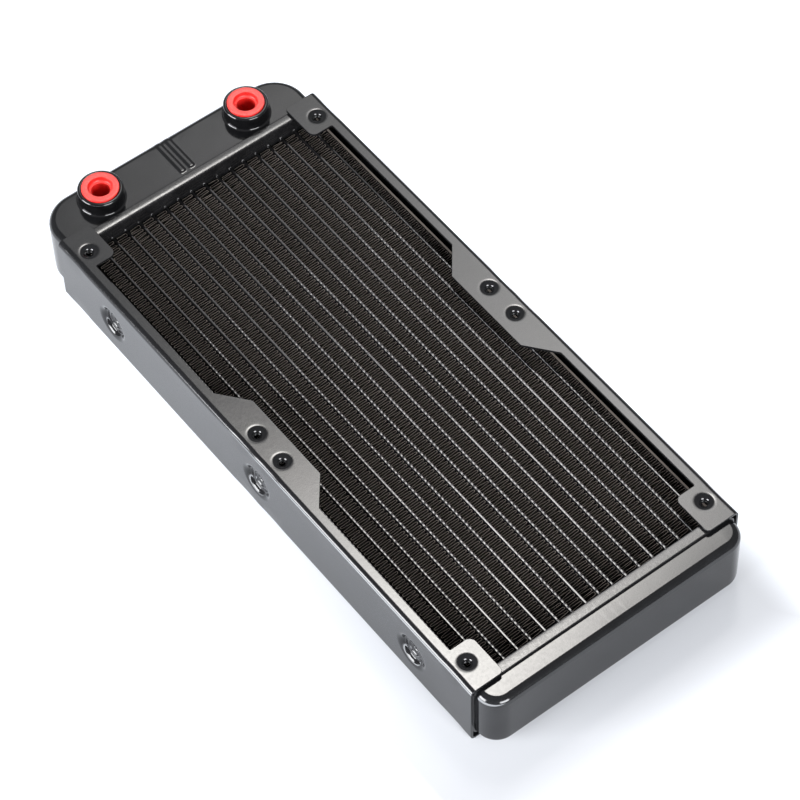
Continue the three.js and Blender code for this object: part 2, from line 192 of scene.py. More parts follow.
def rounded(corners, step=2.5):
    """A closed loop through corners (a, b, radius), with each one rounded and long edges divided."""
    pts = [np.array(c[:2], float) for c in corners]
    loop = []
    for i, (_, _, radius) in enumerate(corners):
        here, before, after = pts[i], pts[i - 1], pts[(i + 1) % len(pts)]
        u, v = before - here, after - here
        u, v = u / np.linalg.norm(u), v / np.linalg.norm(v)
        half = math.acos(np.clip(u @ v, -1, 1)) / 2
        cut = radius / math.tan(half)
        centre = here + (u + v) / np.linalg.norm(u + v) * radius / math.sin(half)
        a, b = here + u * cut - centre, here + v * cut - centre
        turn = math.atan2(a[0] * b[1] - a[1] * b[0], a @ b)
        count = max(2, round(abs(turn) / 0.2))
        for t in np.linspace(0, turn, count + 1):
            c, s = math.cos(t), math.sin(t)
            loop.append(centre + (a[0] * c - a[1] * s, a[0] * s + a[1] * c))
    dense = []
    for p, q in zip(loop, loop[1:] + loop[:1]):
        n = max(1, math.ceil(np.linalg.norm(q - p) / step))
        dense += [p + (q - p) * k / n for k in range(n)]
    return np.array(dense)


def inset(loop, distance):
    """A counterclockwise loop moved inwards."""
    ahead, behind = np.roll(loop, -1, 0) - loop, loop - np.roll(loop, 1, 0)
    ahead /= np.linalg.norm(ahead, axis=1)[:, None]
    behind /= np.linalg.norm(behind, axis=1)[:, None]
    along = ahead + behind
    normal = np.stack([-along[:, 1], along[:, 0]], 1) / np.linalg.norm(along, axis=1)[:, None]
    miter = normal[:, 1] * ahead[:, 0] - normal[:, 0] * ahead[:, 1]
    return loop + normal * (distance / np.clip(miter, 0.5, 1))[:, None]


def smooth(t):
    """An S-shaped step from 0 to 1."""
    t = np.clip(t, 0, 1)
    return t * t * (3 - 2 * t)


def waves(x, height, length, orders, rng):
    """A sum of sines along x at random phases, each as much lower as it is shorter."""
    return sum(height / k * np.sin(k * x / length + 6.3 * rng.random()) for k in orders)


def piece(name, skin, body, material, slot, nodes=(), sharp=38):
    """Makes the object: welded, facing out, in metres in the row frame, riding on its body."""
    mesh = bpy.data.meshes.new(name)
    points = (np.array(skin.points) + (PANEL_X, 0, 0)) * MM
    mesh.from_pydata(points.tolist(), [], skin.faces)
    bm = bmesh.new()
    bm.from_mesh(mesh)
    bmesh.ops.remove_doubles(bm, verts=bm.verts, dist=2e-6)
    bmesh.ops.recalc_face_normals(bm, faces=bm.faces)
    bm.to_mesh(mesh)
    bm.free()
    mesh.shade_smooth()
    mesh.set_sharp_from_angle(angle=math.radians(sharp))
    obj = bpy.data.objects.new(name, mesh)
    scene.collection.objects.link(obj)
    mesh.materials.append(material)
    weighted = obj.modifiers.new("normals", "WEIGHTED_NORMAL")
    weighted.mode = "FACE_AREA"
    weighted.keep_sharp = True
    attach(obj, body)
    if nodes:
        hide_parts(*nodes)
    return obj


# ---- Side panels ----
FLAT = HEIGHT / 2 - BEND
ARC = BEND * math.pi / 2


def sheet_s(depth):
    """Distance along the sheet from the middle of its wall, for a flange this deep."""
    return FLAT + ARC + depth - BEND


def folded(x, s, d):
    """Places a point of the flat sheet, d below its outer face, on the folded left panel."""
    x, s, d = np.broadcast_arrays(*(np.asarray(v, float) for v in (x, s, d)))
    run, sign = np.abs(s), np.sign(s)
    turn = np.clip((run - FLAT) / BEND, 0, math.pi / 2)
    y = OUTER - BEND + (BEND - d) * np.cos(turn) - np.maximum(run - FLAT - ARC, 0)
    z = MID_Z + sign * (np.minimum(run, FLAT) + (BEND - d) * np.sin(turn))
    return np.stack([x, y, z], -1)


HOLE_S = sheet_s(OUTER - HOLE_Y)
PANEL_HOLES = [(x, side * HOLE_S) for x in HOLES_X for side in (1, -1)]
PANEL_HOLES += [(x, 0.0) for x in SIDE_HOLES_X]
DISH_SEGMENTS = 56
# radius and depth below the flat face, into the dish, then from the thread's end back out to the
# sheet's inner face: a flange's, with a soft lip, and a wall's, which is wider and has a step
FLANGE_DISH = [(4.5, 0), (4.3, 0.001), (4.1, 0.004), (3.9, 0.01), (3.7, 0.02), (3.5, 0.034), (3.3, 0.056)]
FLANGE_DISH += [(3.1, 0.09), (2.9, 0.142), (2.7, 0.215), (2.5, 0.31), (2.3, 0.42), (2.1, 0.54)]
FLANGE_DISH += [(1.95, 0.64), (1.8, 0.795), (1.65, 0.96), (1.56, 1.09), (1.52, 1.24)]
FLANGE_BACK = [(1.62, 2.9), (2.0, 2.9), (2.1, 2.8), (2.2, 2.5), (2.4, 2.2), (2.8, 1.85)]
FLANGE_BACK += [(3.2, 1.55), (3.6, 1.28), (3.95, 1.1), (4.25, 1.02), (4.5, 1.0)]
WALL_DISH = [(8.2, 0), (7.9, 0.015), (7.6, 0.06), (7.3, 0.14), (7.0, 0.26), (6.75, 0.41), (6.55, 0.56)]
WALL_DISH += [(6.4, 0.69), (6.25, 0.84), (6.1, 1.04), (5.95, 1.3), (5.8, 1.52), (5.65, 1.66), (5.4, 1.74)]
WALL_DISH += [(4.9, 1.77), (4.2, 1.78), (3.7, 1.78), (3.5, 1.81), (3.38, 1.9), (3.25, 2.05), (2.95, 2.2)]
WALL_DISH += [(2.5, 2.3), (2.1, 2.38), (1.85, 2.45), (1.65, 2.6), (1.56, 2.7), (1.52, 2.8)]
WALL_BACK = [(1.62, 3.4), (2.0, 3.4), (2.6, 3.3), (3.4, 3.1), (4.2, 2.8), (5.2, 2.7), (5.7, 2.55)]
WALL_BACK += [(6.1, 2.2), (6.6, 1.6), (7.1, 1.25), (7.7, 1.05), (8.2, 1.0)]
SAG, SAG_REACH = 0.13, 5.5  # how far a fold is drawn in beside a dish, and half the length of that


def dish(s):
    """The profiles into and back out of the dish at s on the sheet."""
    return (FLANGE_DISH, FLANGE_BACK) if s else (WALL_DISH, WALL_BACK)


def dish_rim(s):
    """Radius at which the dish at s starts."""
    return dish(s)[0][0][0]


def sag(x, s):
    """How far the folds were drawn in beside the dishes."""
    total = np.zeros(np.broadcast(x, s).shape)
    for hx, hs in PANEL_HOLES:
        near = np.exp(-(((x - hx) / SAG_REACH) ** 4)) * (hs * s > 0)
        total = np.maximum(total, near * (abs(hs) > FLAT))
    across = (np.abs(s) - FLAT) / ARC
    return SAG * total * smooth(across + 1) * smooth(1.1 - across)


def thread_rows(top, bottom, pitch, minor, major, segments, start=0.0):
    """Rings of (radius, depth) samples down a right-hand thread, fading out at both ends."""
    angles = np.arange(segments) * 2 * math.pi / segments
    rows = []
    for depth in np.linspace(top, bottom, max(4, round((bottom - top) / pitch * 6))):
        phase = (depth / pitch + angles / (2 * math.pi) + start) % 1
        # flanks between flat crests and roots
        wave = np.clip(1.6 * (1 - np.abs(2 * phase - 1)) - 0.3, 0, 1)
        fade = min(1, (depth - top) / (0.5 * pitch), (bottom - depth) / (0.5 * pitch))
        mean = minor if fade <= 0 else minor + (major - minor) * wave * fade
        rows.append((np.broadcast_to(mean, angles.shape), depth))
    return angles, rows


def panel_outline():
    """The flat sheet's outline, close where it crosses the folds."""
    tab, rim = sheet_s(TAB), sheet_s(RIM)
    half = [(PANEL_END, tab, END_ROUND), (CORNER_TAB, tab, CORNER_ROUND), (CORNER_TAB, rim, RIM_ROUND)]
    half += [(TAB_BASE, rim, TAB_ROUND), (TAB_TOP, tab, TAB_ROUND)]
    upper = half + [(-x, s, r) for x, s, r in half[::-1]]
    lower = [(-x, -s, r) for x, s, r in upper]
    loop, dense = rounded(upper + lower), []
    for p, q in zip(loop, np.roll(loop, -1, 0)):
        inner, outer = sorted((abs(p[1]), abs(q[1])))
        n = 8 if inner < FLAT + ARC + 0.5 and outer > FLAT - 0.5 else 1
        dense += [p + (q - p) * k / n for k in range(n)]
    return np.array(dense)


def panel_points():
    """Extra points of the sheet: close rows round the folds and rings round each dish."""
    points = []
    xs = np.arange(-PANEL_END + 0.8, PANEL_END - 0.5, 0.9)
    for s in np.linspace(FLAT - 0.3, FLAT + ARC + 0.3, 11):
        points += [(x, side * s) for x in xs for side in (-1, 1)]
    for s in np.arange(-12.6, 13, 2.8):
        points += [(x, s) for x in np.arange(-PANEL_END + 2, PANEL_END - 1, 3.1)]
    for hx, hs in PANEL_HOLES:
        for k, radius in enumerate(dish_rim(hs) + np.array((0.6, 1.3, 2.1, 3.0, 4.1))):
            for j in range(28):
                t = (j + 0.5 * (k % 2)) * 2 * math.pi / 28
                x, s = hx + radius * math.cos(t), hs + radius * math.sin(t)
                fold = FLAT - 0.4 < abs(s) < FLAT + ARC + 0.4
                edge = abs(s) > sheet_s(TAB) - 0.5 or abs(x) > PANEL_END - 0.5
                if not (fold or edge):
                    points.append((x, s))
    return [
        (x, s)
        for x, s in points
        if all(math.hypot(x - hx, s - hs) > dish_rim(hs) + 0.15 for hx, hs in PANEL_HOLES)
    ]


def side_panel():
    """The left panel: a folded sheet with dished, tapped holes."""
    skin = Skin()
    outline = panel_outline()
    circle = np.arange(DISH_SEGMENTS) * 2 * math.pi / DISH_SEGMENTS
    ring = np.stack([np.cos(circle), np.sin(circle)], 1)
    holes = [ring * dish_rim(hole[1]) + hole for hole in PANEL_HOLES]
    flat, faces = triangulated([inset(outline, SHEET_EDGE), *holes], panel_points())
    x, s = flat.T
    skin.add(folded(x, s, sag(x, s)), faces)
    skin.add(folded(x, s, SHEET + sag(x, s)), faces)
    rows = []
    steps = [(SHEET_EDGE, 0), (0.3 * SHEET_EDGE, 0.3 * SHEET_EDGE), (0, SHEET_EDGE)]
    steps += [(i, SHEET - d) for i, d in steps[::-1]]
    for move, depth in steps:
        x, s = (inset(outline, move) if move else outline).T
        rows.append(folded(x, s, depth + sag(x, s)))
    skin.grid(rows, around=True)
    for number, (hx, hs) in enumerate(PANEL_HOLES):
        front, back = dish(hs)
        top, bottom = front[-1][1] + 0.04, back[0][1] - 0.06
        start = 0.37 * number  # each thread is cut from its own angle
        angles, thread = thread_rows(top, bottom, TAP_PITCH, TAP_MINOR, TAP, DISH_SEGMENTS, start)
        rows = []
        for radius, depth in front + thread + back:
            x, s = hx + radius * np.cos(angles), hs + radius * np.sin(angles)
            rows.append(folded(x, s, depth + sag(x, s)))
        skin.grid(rows, around=True)
    return skin


# ---- Headers and tanks ----
def section(edge, margin):
    """The tank's section grown by a margin, as a loop of (y, z) that goes counterclockwise."""
    half, high = TANK_WIDTH / 2 + margin, (TANK_TOP - TANK_FLOOR) / 2 + margin
    radius = edge + margin
    loop = []
    for cy, cz, start in ((1, 1, 0), (-1, 1, 90), (-1, -1, 180), (1, -1, 270)):
        for a in np.radians(np.linspace(start, start + 90, 9)):
            y = cy * (half - radius) + radius * math.cos(a)
            z = cz * (high - radius) + radius * math.sin(a)
            loop.append((y, z + MID_Z))
    dense = []
    for i, p in enumerate(loop):
        q = loop[(i + 1) % len(loop)]
        n = 1 if i % 9 < 8 else (40 if i % 18 < 9 else 8)
        dense += [np.array(p) + (np.array(q) - p) * k / n for k in range(n)]
    return np.array(dense)


def tube_loop(y, grow, count=7):
    """A tube's section at y, grown all round, as a loop of (y, z)."""
    radius = TUBE_HALF + grow
    top, low = TUBE_TOP + grow - radius, TUBE_FLOOR - grow + radius
    turn = np.radians(np.linspace(0, 180, count))
    upper = [(y + radius * math.cos(a), top + radius * math.sin(a)) for a in turn]
    lower = [(y - radius * math.cos(a), low - radius * math.sin(a)) for a in turn]
    return np.array(upper + lower)


TUBES_Y = [(box_mm(n)[0][1] + box_mm(n)[1][1]) / 2 for n in TUBES]


def with_x(loop, x):
    """A loop of (y, z) set at x, one value or one for each point."""
    return np.column_stack([np.broadcast_to(x, len(loop)), loop])


def header(edge, face, rim, crown):
    """The tray at the +X end: slotted for the tubes, with a rim that tilts to its crown by the bend."""
    skin = Skin()
    outside = HEADER_GAP + HEADER_SHEET
    shoulder = face + HEADER_BEND * (1 - math.sin(crown))
    width = rim - shoulder
    rows = [(rim, HEADER_GAP + 0.1), (rim, outside - 0.2)]
    rows += [(rim - 0.06, outside - 0.06), (rim - 0.2, outside)]
    for t in np.linspace(0.15, 1, 10):
        rows.append((rim - width * t, outside - width * math.tan(crown) * t**4 / 4))
    fall = rows[-1][1] - HEADER_BEND * math.cos(crown)
    for a in np.linspace(crown, math.pi / 2, 7)[1:]:
        rows.append((face + HEADER_BEND * (1 - math.sin(a)), fall + HEADER_BEND * math.cos(a)))
    rows = rows[::-1] + [(rim - 0.1, HEADER_GAP), (face + HEADER_SHEET + 0.3, HEADER_GAP)]
    rows += [(face + HEADER_SHEET, HEADER_GAP - 0.3)]
    skin.grid([with_x(section(edge, m), x) for x, m in rows], around=True)
    slots = [tube_loop(y, SLOT_GAP) for y in TUBES_Y]
    for x, margin in (rows[0], rows[-1]):
        flat, faces = triangulated([section(edge, margin), *slots])
        skin.add(with_x(flat, x), faces)
    for slot in slots:
        skin.grid([with_x(slot, face), with_x(slot, face + HEADER_SHEET)], around=True)
    return skin


def beads(face, seed):
    """Solder round each tube where it meets the header at the +X end, uneven from tube to tube."""
    skin = Skin()
    rng = np.random.default_rng(seed)
    for y in TUBES_Y:
        base = tube_loop(y, -0.05, 11)
        n = len(base)
        t = np.arange(n) * 2 * math.pi / n
        size = 0.42 + 0.16 * rng.random()
        for k in (2, 3, 5):
            size = size + 0.11 * rng.random() * np.sin(k * t + 6 * rng.random())
        out = tube_loop(y, 1.0, 11) - base
        out /= np.linalg.norm(out, axis=1)[:, None]
        rows = []
        for a in np.radians(np.linspace(0, 90, 5)):
            spread, run = 1 - math.sin(a), 1 - math.cos(a)
            loop = base + out * (0.05 + size * spread)[:, None]
            rows.append(np.column_stack([face + 0.05 - size * run, loop]))
        rows.append(with_x(base, face - 0.6 * size))
        rows.append(with_x(base, face + 0.05))
        rows.append(rows[0])
        skin.grid(rows, around=True)
    return skin


def tank_path(reach, corner):
    """The tank's plan outline from mouth to mouth round its end, as (x, y, normal x, normal y)."""
    half = TANK_WIDTH / 2
    path = [(x, -half, 0, -1) for x in np.linspace(TANK_MOUTH, reach - corner, 5)[:-1]]
    for a in np.radians(np.linspace(-90, 0, 15)):
        c, s = math.cos(a), math.sin(a)
        path.append((reach - corner + corner * c, -half + corner + corner * s, c, s))
    far = half - corner
    before = np.linspace(-far, RIDGE_ZONE[0], 12)[1:-1]
    path += [(reach, y, 1, 0) for y in (*before, *RIDGE_ZONE, *-before[::-1])]
    for a in np.radians(np.linspace(0, 90, 15)):
        c, s = math.cos(a), math.sin(a)
        path.append((reach - corner + corner * c, half - corner + corner * s, c, s))
    path += [(x, half, 0, 1) for x in np.linspace(reach - corner, TANK_MOUTH, 5)[1:]]
    return np.array(path)


def ridge_height(x, y):
    """Height of the two ridges pressed up in the port tank, which is made at the +X end and turned."""
    across = np.minimum(np.abs(y - RIDGES_Y[0]), np.abs(y - RIDGES_Y[1]))
    rise = smooth((RIDGE_HALF - across) / (RIDGE_HALF - RIDGE_CREST))
    return RIDGE_HEIGHT * rise * smooth((x - RIDGE_END) / RIDGE_FADE)


def tank(reach, corner, edge, ridged=False):
    """The hollow tank at the +X end, open at its mouth, with the ports' holes if it is ridged."""
    skin = Skin()
    path = tank_path(reach, corner)
    mouth_loops = []
    for wall in (0, TANK_WALL):
        radius = edge - wall
        top, low = TANK_TOP - wall, TANK_FLOOR + wall
        turns = np.radians(np.linspace(0, 90, 9))
        # inset from the outline, z, and how far the surface faces up
        round_edge = [
            (wall + radius * (1 - math.sin(a)), top - radius * (1 - math.cos(a)), math.cos(a))
            for a in turns
        ]
        walls = np.linspace(top - radius, low + radius, 7)[1:-1]
        profile = round_edge + [(wall, z, 0) for z in walls]
        profile += [(i, TANK_TOP + TANK_FLOOR - z, c) for i, z, c in round_edge[::-1]]
        rows = []
        for move, z, up in profile:
            x, y = path[:, 0] - path[:, 2] * move, path[:, 1] - path[:, 3] * move
            x[[0, -1]] = TANK_MOUTH
            height = np.full(len(x), float(z))
            if ridged and not wall and z > MID_Z:
                height += ridge_height(x, y) * up
            rows.append(np.stack([x, y, height], 1))
        skin.grid(rows)
        rim = rows[0][:, :2]
        lid = [tuple(p) for p in rim]
        across = np.linspace(rim[-1][1], rim[0][1], 30)[1:-1]
        lid += [(TANK_MOUTH, y) for y in across]
        holes, extra = [], []
        if ridged:
            t = np.arange(96) * 2 * math.pi / 96
            ring = np.stack([np.cos(t), np.sin(t)], 1) * BORE_MAJOR
            holes = [ring + (-PORT_X, side * PORT_Y) for side in (-1, 1)]
            if not wall:
                xs = np.arange(RIDGE_END - 0.4, reach - edge - 0.4, 0.4)
                extra = [(x, y) for x in xs for y in RIDGE_ZONE]
        flat, faces = triangulated([lid, *holes], extra)
        rise = ridge_height(*flat.T) if ridged and not wall else 0
        skin.add(np.column_stack([flat, np.broadcast_to(top + rise, len(flat))]), faces)
        for hole in holes if wall else ():
            ends = [np.column_stack([hole, np.full(len(hole), z)]) for z in (TANK_TOP, top)]
            skin.grid(ends, around=True)
        flat, faces = triangulated([lid])
        skin.add(np.column_stack([flat, np.full(len(flat), low)]), faces)
        start, end = [r[0] for r in rows], [r[-1] for r in rows]
        upper = [(TANK_MOUTH, y, top) for y in across]
        under = [(TANK_MOUTH, y, low) for y in across[::-1]]
        mouth_loops.append(end + under + start[::-1] + upper[::-1])
    skin.grid([mouth_loops[0], mouth_loops[1]], around=True)
    return skin


# ---- Core ----
def tube(y, seed, lean):
    """A flat tube with narrow edges: slightly uneven, and dented at the fins' pitch in its +X part."""
    rng = np.random.default_rng(seed)
    dents = np.arange(-TUBE_END + FIN_PITCH * rng.random(), TUBE_END, FIN_PITCH)
    xs, deep = np.array([(x + step * FIN_PITCH, share) for x in dents for step, share in DENT_STEPS]).T
    inside = np.abs(xs) < TUBE_END - 0.1
    xs = np.concatenate([[-TUBE_END], xs[inside], [TUBE_END]])
    deep = np.pad(deep[inside], 1)
    sway = waves(xs, 0.03, 47, (1, 2, 5), rng)
    patchy = 0.8 + waves(xs, 0.6, 23, (1, 2, 3), rng)
    dent = DENT * deep * np.clip(patchy, 0, 1) * smooth((xs + DENTS_FROM) / DENTS_FROM)
    edge = TUBE_EDGE + [(-across, down) for across, down in TUBE_EDGE[-2::-1]]
    upper = np.array([(y + across, TUBE_TOP - down) for across, down in edge])
    lower = np.array([(y - across, TUBE_FLOOR + down) for across, down in edge])
    skin = Skin()
    rows = []
    for x, move, down in zip(xs, sway, dent):
        rows.append(with_x(np.concatenate([upper + (move + lean, -down), lower + (move, 0)]), x))
    for x, move in ((xs[-1], sway[-1]), (xs[0], sway[0])):
        bore = tube_loop(y + move, -TUBE_WALL, len(edge))
        bore[: len(edge), 1] -= TUBE_TAPER
        bore[len(edge) :, 1] += TUBE_TAPER
        rows.append(with_x(bore, x))
    rows.append(rows[0])
    skin.grid(rows, around=True)
    return skin


def crushed(x):
    """How much handling has crushed a fin, from 0 to 1 near the headers."""
    return smooth((np.abs(x) - FIN_END + 13) / 12)


def fin_path(low, high, rng):
    """Plan of a strip: near-straight legs joined by round bends, as points and their normals."""
    count = round(2 * FIN_END / FIN_PITCH) * 2
    xs = np.linspace(-FIN_END + 0.5, FIN_END - 0.5, count)
    drift = waves(xs, 0.16, 29, (1, 2, 3, 5), rng)
    crush = crushed(xs)
    xs = xs + drift * (1 - crush) + crush * rng.normal(0, 0.13, count)
    lean = rng.normal(0.06, 0.05, count) * np.where(np.arange(count) % 2, -1, 1)
    bend = FIN_PITCH / 4
    path = []
    for i, (x, tilt) in enumerate(zip(xs, lean)):
        ends = [(x - tilt, low + bend), (x + tilt, high - bend)]
        rising = i % 2 == 0
        path += ends if rising else ends[::-1]
        if i + 1 < count:
            start, crown = path[-1], 1 if rising else -1
            reach = (xs[i + 1] + crown * lean[i + 1] - start[0]) / 2
            for t in np.radians((36, 90, 144)):
                path.append((start[0] + reach * (1 - math.cos(t)), start[1] + crown * bend * math.sin(t)))
    path = np.array(path)
    path[:, 1] = np.clip(path[:, 1], low + FIN_SHEET / 2, high - FIN_SHEET / 2)
    along = np.gradient(path, axis=0)
    along /= np.linalg.norm(along, axis=1)[:, None]
    return path, np.stack([-along[:, 1], along[:, 0]], 1)


def fin_strip(low, high, seed):
    """A corrugated strip between y = low and y = high, at its real pitch and a little uneven."""
    rng = np.random.default_rng(seed)
    path, side = fin_path(low, high, rng)
    wave = waves(path[:, 0], 1, 31, (1, 2, 3), rng)
    across = (path[:, 1] - (low + high) / 2) / (high - low)
    top = TUBE_TOP - FIN_DROP + rng.normal(0, 0.1) + 0.12 * wave + 0.3 * across
    top += crushed(path[:, 0]) * rng.normal(0, 0.1, len(path))
    middle, foot = np.full(len(path), MID_Z), np.full(len(path), TUBE_FLOOR + FIN_DROP)
    levels = [(1, top - 0.06), (0.6, top), (-0.6, top), (-1, top - 0.06)]
    levels += [(-1, middle), (-1, foot), (1, foot), (1, middle)]
    half = FIN_SHEET / 2
    rows = np.array([np.column_stack([path + side * half * share, z]) for share, z in levels])
    skin = Skin()
    skin.grid(rows.transpose(1, 0, 2), around=True)
    n, last = len(levels), len(levels) * (len(path) - 1)
    skin.faces += [list(range(n)), [last + i for i in range(n)][::-1]]
    return skin


# ---- Ports ----
def lathe(profile, x, y, segments=96):
    """Rings of (radius or radii, z) about an upright axis; a closed profile comes back to its start."""
    angles = np.arange(segments) * 2 * math.pi / segments
    rows = []
    for radius, z in profile:
        r = np.broadcast_to(radius, segments)
        rows.append(np.stack([x + r * np.cos(angles), y + r * np.sin(angles), np.full(segments, z)], 1))
    skin = Skin()
    skin.grid(rows, around=True)
    return skin


def arc(centre, radius, start, stop, count=6):
    """Profile points round a fillet or a rounded edge, angles in degrees."""
    return [
        (centre[0] + radius * math.cos(a), centre[1] + radius * math.sin(a))
        for a in np.radians(np.linspace(start, stop, count))
    ]


def collar(y):
    """A turned port collar with a seat and a cut thread."""
    fillet, bevel = COLLAR_FOOT - COLLAR, 0.85
    profile = [(BORE_MINOR, TANK_TOP), (COLLAR_FOOT, TANK_TOP)]
    profile += arc((COLLAR_FOOT, TANK_TOP + fillet + 0.05), fillet, 270, 180)
    profile += [(COLLAR, PORT_TOP - bevel - 0.6)]
    profile += arc((COLLAR - bevel, PORT_TOP - bevel), bevel, 0, 90, 9)
    profile += arc((SEAT + 0.3, PORT_TOP - 0.3), 0.3, 90, 180, 5)
    profile += [(SEAT, PORT_TOP - SEAT_DEPTH + 0.05), (SEAT - 0.05, PORT_TOP - SEAT_DEPTH)]
    profile += [(BORE_MAJOR + 0.1, PORT_TOP - SEAT_DEPTH), (BORE_MINOR, PORT_TOP - SEAT_DEPTH - 0.6)]
    depth = PORT_TOP - SEAT_DEPTH - 0.65 - TANK_TOP
    _, thread = thread_rows(0, depth - 0.1, BORE_PITCH, BORE_MINOR, BORE_MAJOR, 96)
    profile += [(radius, TANK_TOP + depth - down) for radius, down in thread]
    profile += [(BORE_MINOR, TANK_TOP)]
    return lathe(profile, PORT_X, y)


def plug(y):
    """A push-in plug: a flange with a blind, stepped hollow, over a ribbed stem."""
    seat = PORT_TOP - SEAT_DEPTH
    top = PORT_TOP + PLUG_RISE
    end = seat - PLUG_LENGTH
    profile = [(0.001, end), (PLUG_STEM - 0.7, end)]
    profile += arc((PLUG_STEM - 0.5, end + 0.5), 0.5, 290, 360, 4)
    for rib in PLUG_RIBS:
        z = end + rib
        profile += [(PLUG_STEM - 0.02, z - 0.35), (PLUG_STEM + 0.14, z - 0.06)]
        profile += [(PLUG_STEM + 0.14, z + 0.06), (PLUG_STEM - 0.02, z + 0.12)]
    profile += [(PLUG_STEM, seat - 0.15), (PLUG_STEM + 0.15, seat + 0.01)]
    profile += [(PLUG_FLANGE - 0.1, seat + 0.01), (PLUG_FLANGE, seat + 0.1)]
    profile += arc((PLUG_FLANGE - 0.28, top - 0.28), 0.28, 0, 80, 5)
    profile += [(6.3, top - 0.02), (5.0, top - 0.04)]
    profile += arc((4.86, top - 0.24), 0.2, 90, 172, 5)
    profile += [(4.6, top - 0.8), (4.5, top - 1.4), (4.35, top - 1.75)]
    profile += [(4.1, top - 1.95), (3.85, top - 2.02)]
    profile += arc((3.77, top - 2.3), 0.28, 80, 180, 4)
    profile += [(3.5, end + 2.5), (3.42, end + 1.5), (3.2, end + 1.1)]
    profile += [(2.4, end + 0.95), (0.001, end + 0.9)]
    return lathe(profile, PORT_X, y)


# ---- Materials ----
def ramp(tree, source, low, high, to_low=0.0, to_high=1.0, smoothed=True):
    """A value run from to_low to to_high as the source goes from low to high."""
    made = tree.nodes.new("ShaderNodeMapRange")
    made.interpolation_type = "SMOOTHSTEP" if smoothed else "LINEAR"
    for key, value in (("From Min", low), ("From Max", high), ("To Min", to_low), ("To Max", to_high)):
        made.inputs[key].default_value = value
    tree.links.new(source, made.inputs["Value"])
    return made.outputs["Result"]


def combined(tree, operation, *sources):
    """A math node over sources, each a socket or a number."""
    made = tree.nodes.new("ShaderNodeMath")
    made.operation = operation
    for slot, source in zip(made.inputs, sources):
        if isinstance(source, (int, float)):
            slot.default_value = source
        else:
            tree.links.new(source, slot)
    return made.outputs["Value"]


def shader(name, base, vary, rough, bumps, painted_top_light=None, **sockets):
    """A Principled material: colour drifting in tone, uneven roughness and layers of fine bump.

    vary is (share of the tone, noise scale), rough is (lowest, highest, noise scale) and each of
    bumps is (noise scale, strength, distance). Given a top colour, surfaces that face up take it: a
    painted highlight on the tops, over the base colour of the sides.
    """
    mat = bpy.data.materials.new(name)
    mat.use_nodes = True
    tree = mat.node_tree
    nodes, links = tree.nodes, tree.links
    bsdf = nodes["Principled BSDF"]
    coords = nodes.new("ShaderNodeTexCoord")

    def noise(scale, detail=3.0):
        made = nodes.new("ShaderNodeTexNoise")
        made.inputs["Scale"].default_value = scale
        made.inputs["Detail"].default_value = detail
        links.new(coords.outputs["Object"], made.inputs["Vector"])
        return made

    drift, drift_scale = vary
    tones = nodes.new("ShaderNodeValToRGB")
    for element, position, tone in zip(tones.color_ramp.elements, (0.35, 0.68), (1 - drift, 1 + drift)):
        element.position = position
        element.color = (*[c * tone for c in base], 1)
    links.new(noise(drift_scale).outputs["Fac"], tones.inputs["Fac"])
    colour = tones.outputs["Color"]
    # faces that point up take the lighter top colour: a painted highlight on the tops
    if painted_top_light:
        facing = nodes.new("ShaderNodeSeparateXYZ")
        links.new(coords.outputs["Normal"], facing.inputs["Vector"])
        blend = nodes.new("ShaderNodeMix")
        blend.data_type = "RGBA"
        up = ramp(tree, facing.outputs["Z"], 0.5, 0.8, smoothed=False)
        links.new(up, blend.inputs["Factor"])
        links.new(colour, blend.inputs[6])
        blend.inputs[7].default_value = (*painted_top_light, 1)
        colour = blend.outputs[2]
    links.new(colour, bsdf.inputs["Base Color"])
    smoothest, roughest, grain_scale = rough
    grain = noise(grain_scale).outputs["Fac"]
    roughness = ramp(tree, grain, 0.3, 0.7, smoothest, roughest, smoothed=False)
    links.new(roughness, bsdf.inputs["Roughness"])
    normal = None
    for scale, strength, distance in bumps:
        bump = nodes.new("ShaderNodeBump")
        bump.inputs["Strength"].default_value = strength
        bump.inputs["Distance"].default_value = distance
        links.new(noise(scale, 2.0).outputs["Fac"], bump.inputs["Height"])
        if normal:
            links.new(normal, bump.inputs["Normal"])
        normal = bump.outputs["Normal"]
    links.new(normal, bsdf.inputs["Normal"])
    for key, value in sockets.items():
        bsdf.inputs[key.replace("_", " ")].default_value = value
    return mat


PAINT = shader(
    "panel_paint", (0.0062, 0.0064, 0.007), (0.2, 90), (0.09, 0.13, 900),
    [(300, 0.05, 0.0001), (1500, 0.08, 0.00004)], Specular_IOR_Level=0.5,
)
TANK_PAINT = shader(
    "tank_paint", (0.006, 0.0062, 0.0068), (0.2, 110), (0.09, 0.13, 700),
    [(1500, 0.08, 0.00004)], Specular_IOR_Level=0.5,
)
HEADER_PAINT = shader(
    "header_paint", (0.009, 0.009, 0.0094), (0.3, 200), (0.1, 0.18, 1300),
    [(600, 0.08, 0.00015), (2600, 0.2, 0.00004)], Specular_IOR_Level=0.5,
)
TUBE_PAINT = shader(
    "tube_paint", (0.006, 0.0061, 0.0063), (0.3, 260), (0.07, 0.11, 1500),
    [(700, 0.12, 0.00006)], Specular_IOR_Level=0.5,
)
# near-black fins whose up-facing edges are painted lighter: a painted highlight along their top edges
FIN_PAINT = shader(
    "fin_paint", (0.0025, 0.0022, 0.002), (0.3, 150), (0.6, 0.8, 1200),
    [(1500, 0.3, 0.00008)], painted_top_light=(0.155, 0.136, 0.12), Specular_IOR_Level=0.06,
)
SOLDER = shader(
    "solder_paint", (0.008, 0.0078, 0.0078), (0.4, 900), (0.12, 0.24, 2000),
    [(1800, 0.4, 0.0001)], Specular_IOR_Level=0.5,
)
GLOSS = shader(
    "collar_gloss", (0.0035, 0.0035, 0.0038), (0.2, 300), (0.06, 0.11, 1500),
    [(420, 0.08, 0.0001)], Specular_IOR_Level=0.5,
)
